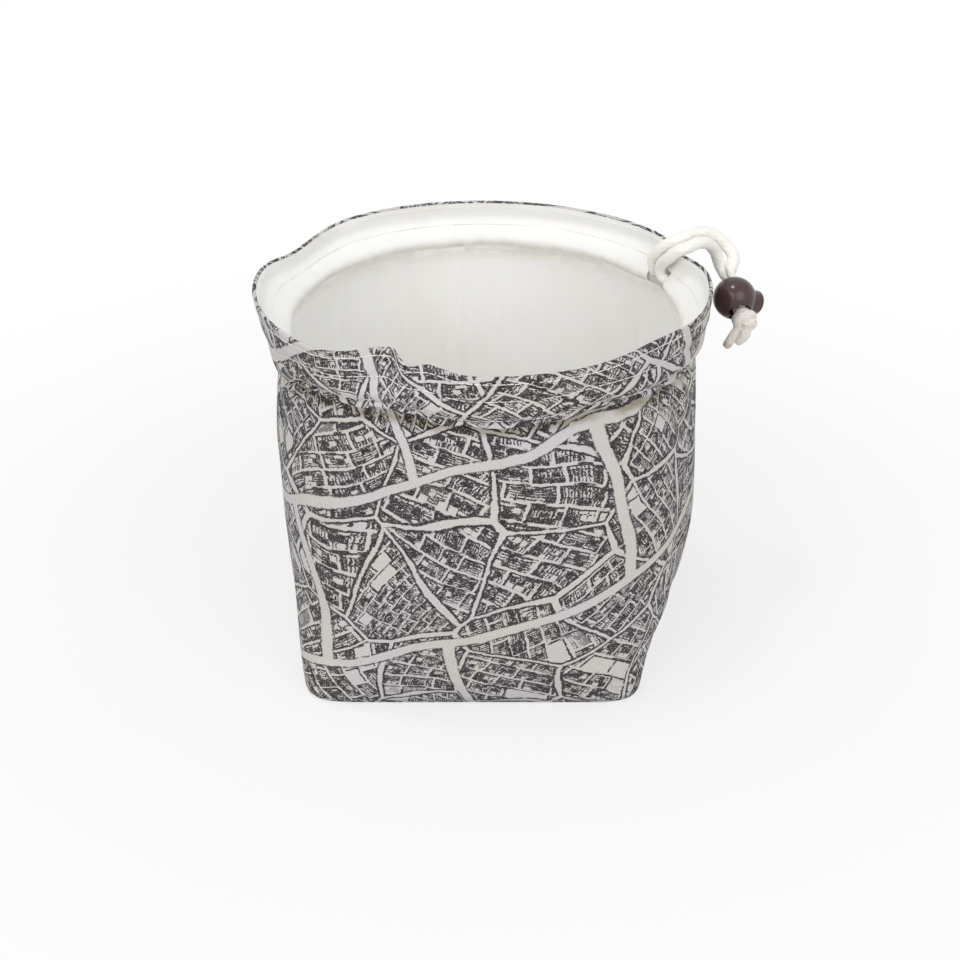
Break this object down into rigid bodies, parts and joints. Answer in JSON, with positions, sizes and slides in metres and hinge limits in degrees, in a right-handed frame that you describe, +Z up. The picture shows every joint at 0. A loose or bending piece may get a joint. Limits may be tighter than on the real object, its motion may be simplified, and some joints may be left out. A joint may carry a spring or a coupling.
{
  "type": "drawstring pouch",
  "caption": "Lined cotton pouch with a boxed base that stands open, a drawstring channel under its rim and a ball cord lock with a spring button on the drawstring.",
  "frame": {"origin": "on the table, under the middle of the pouch's rim", "axes": "+Z up, +X towards the side where the drawstring comes out, -Y towards the picture's viewer"},
  "size_m": [0.2109, 0.174, 0.1632],
  "materials": {
    "printed_cotton": "matte off-white cotton with a charcoal print",
    "cream_lining": "matte plain weave",
    "cotton_cord": "matte braid",
    "brown_plastic": "satin dark brown",
    "spring_steel": "bright wire"
  },
  "bodies": {
    "pouch": {"outer_front_panel": "printed_cotton", "outer_back_panel": "printed_cotton", "lining_front_panel": "cream_lining", "lining_back_panel": "cream_lining", "facing_band": "cream_lining", "drawstring_in_casing": "cotton_cord", "drawstring_front_strand": "cotton_cord", "drawstring_back_strand": "cotton_cord", "cord_knot": "cotton_cord", "drawstring_end_front": "cotton_cord", "drawstring_end_back": "cotton_cord"},
    "cord_lock": {"cord_lock_ball": "brown_plastic", "cord_lock_spring": "spring_steel"},
    "button": {"cord_lock_button": "brown_plastic"}
  },
  "joints": [
    {"name": "cord_lock_slide", "type": "slide", "parent": "pouch", "child": "cord_lock", "axis": [-0.1901, 0.8602, 0.4731], "range_m": [0, 0.004]},
    {"name": "button_press", "type": "slide", "parent": "cord_lock", "child": "button", "axis": [-0.8464, -0.3878, 0.3651], "range_m": [0, 0.0024], "stiffness_N_per_m": 300, "springref_m": -0.002, "deforming": ["cord_lock_spring"]}
  ]
}
